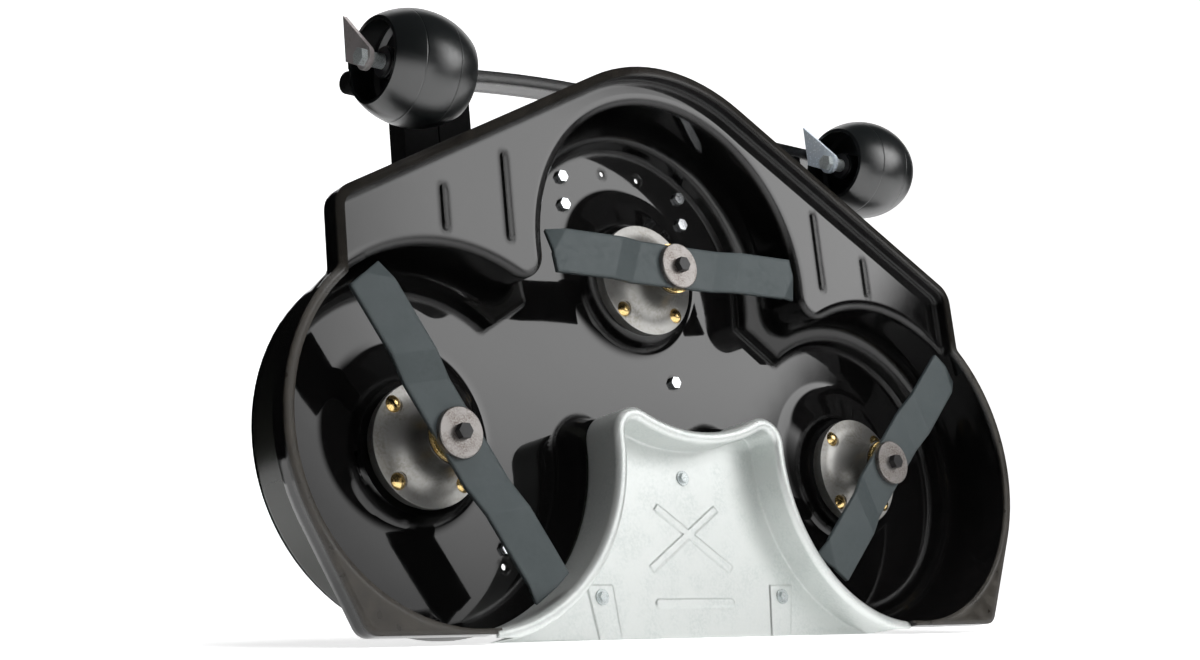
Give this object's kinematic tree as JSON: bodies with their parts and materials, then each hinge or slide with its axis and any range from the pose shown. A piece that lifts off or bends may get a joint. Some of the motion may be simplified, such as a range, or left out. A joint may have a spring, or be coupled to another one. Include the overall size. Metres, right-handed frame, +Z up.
{
  "type": "lawn mower deck",
  "caption": "Pressed steel mower deck with spinning blades on belt-driven spindles, a mulch plug, front rollers and a tubular carrier, standing on its rear edge.",
  "frame": {"origin": "middle of the standing deck's footprint, on the floor", "axes": "+X across the deck, +Y from the open underside to the top of the deck, +Z up to the deck's front"},
  "size_m": [1.053, 0.2682, 0.6514],
  "materials": {
    "deck_paint": "black gloss coat over pressed steel, worn at the rim",
    "zinc_sheet": "pale zinc coat with soft spangle",
    "zinc_hardware": "bright zinc",
    "yellow_zinc": "yellow chromate zinc",
    "blade_steel": "dark rolled steel with ground edges",
    "washer_steel": "plain steel",
    "black_steel": "black oxide",
    "cast_metal": "raw casting, turned nose",
    "bearing_steel": "ground steel",
    "pulley_steel": "zinc plated pressing",
    "belt_rubber": "dry matt rubber",
    "cover_plastic": "grained black moulding",
    "roller_plastic": "glossy black moulding with a parting line",
    "bush_plastic": "self-lubricating black plastic",
    "frame_paint": "black coat on welded tube",
    "ear_steel": "oiled steel sheet"
  },
  "bodies": {
    "deck": {"axle_bolt_left": "zinc_hardware", "axle_bolt_right": "zinc_hardware", "axle_nut_left": "zinc_hardware", "axle_nut_right": "zinc_hardware", "axle_sleeve_left": "zinc_hardware", "axle_sleeve_right": "zinc_hardware", "bearings_centre": "bearing_steel", "bearings_left": "bearing_steel", "bearings_right": "bearing_steel", "belt_cover_left": "cover_plastic", "belt_cover_right": "cover_plastic", "belt_keeper": "frame_paint", "carrier_arms_left": "frame_paint", "carrier_arms_right": "frame_paint", "cross_tube": "frame_paint", "deck_bolts": "zinc_hardware", "deck_nuts": "zinc_hardware", "deck_shell": "deck_paint", "front_feet": "frame_paint", "hitch_bar": "frame_paint", "housing_bolts": "yellow_zinc", "housing_centre": "cast_metal", "housing_left": "cast_metal", "housing_nuts": "zinc_hardware", "housing_right": "cast_metal", "idler_plate": "pulley_steel", "mulch_plug": "zinc_sheet", "plug_screws": "zinc_hardware", "rail_left": "frame_paint", "rail_right": "frame_paint", "rear_feet": "frame_paint", "v_belt": "belt_rubber", "wheel_ears_left": "ear_steel", "wheel_ears_right": "ear_steel"},
    "spindle_left": {"shaft_left": "bearing_steel", "collar_left": "yellow_zinc", "blade_left": "blade_steel", "washer_left": "washer_steel", "blade_bolt_left": "black_steel", "pulley_left": "pulley_steel", "spindle_nut_left": "zinc_hardware"},
    "spindle_centre": {"shaft_centre": "bearing_steel", "collar_centre": "yellow_zinc", "blade_centre": "blade_steel", "washer_centre": "washer_steel", "blade_bolt_centre": "black_steel", "pulley_centre": "pulley_steel", "spindle_nut_centre": "zinc_hardware"},
    "spindle_right": {"shaft_right": "bearing_steel", "collar_right": "yellow_zinc", "blade_right": "blade_steel", "washer_right": "washer_steel", "blade_bolt_right": "black_steel", "pulley_right": "pulley_steel", "spindle_nut_right": "zinc_hardware"},
    "roller_left": {"roller_left": "roller_plastic", "roller_bushes_left": "bush_plastic"},
    "roller_right": {"roller_right": "roller_plastic", "roller_bushes_right": "bush_plastic"},
    "idler": {"idler_pulley": "pulley_steel"}
  },
  "joints": [
    {"name": "spindle_centre_spin", "type": "hinge", "parent": "deck", "child": "spindle_centre", "pos_m": [0, -0.01363, 0.41003], "axis": [0, 0.989, -0.1478], "continuous": true},
    {"name": "spindle_left_spin", "type": "hinge", "parent": "deck", "child": "spindle_left", "pos_m": [-0.321, -0.04511, 0.19937], "axis": [0, 0.989, -0.1478], "continuous": true},
    {"name": "spindle_right_spin", "type": "hinge", "parent": "deck", "child": "spindle_right", "pos_m": [0.321, -0.04511, 0.19937], "axis": [0, 0.989, -0.1478], "continuous": true},
    {"name": "idler_spin", "type": "hinge", "parent": "deck", "child": "idler", "pos_m": [0.157, 0.02859, 0.15802], "axis": [0, 0.989, -0.1478], "continuous": true},
    {"name": "roller_left_spin", "type": "hinge", "parent": "deck", "child": "roller_left", "pos_m": [-0.344, -0.02747, 0.58803], "axis": [1, 0, 0], "continuous": true},
    {"name": "roller_right_spin", "type": "hinge", "parent": "deck", "child": "roller_right", "pos_m": [0.344, -0.02747, 0.58803], "axis": [1, 0, 0], "continuous": true}
  ],
  "couplings": [
    {"joint": "spindle_left_spin", "follows": "spindle_centre_spin", "ratio": 1},
    {"joint": "spindle_right_spin", "follows": "spindle_centre_spin", "ratio": 1},
    {"joint": "idler_spin", "follows": "spindle_centre_spin", "ratio": 1.6486}
  ]
}
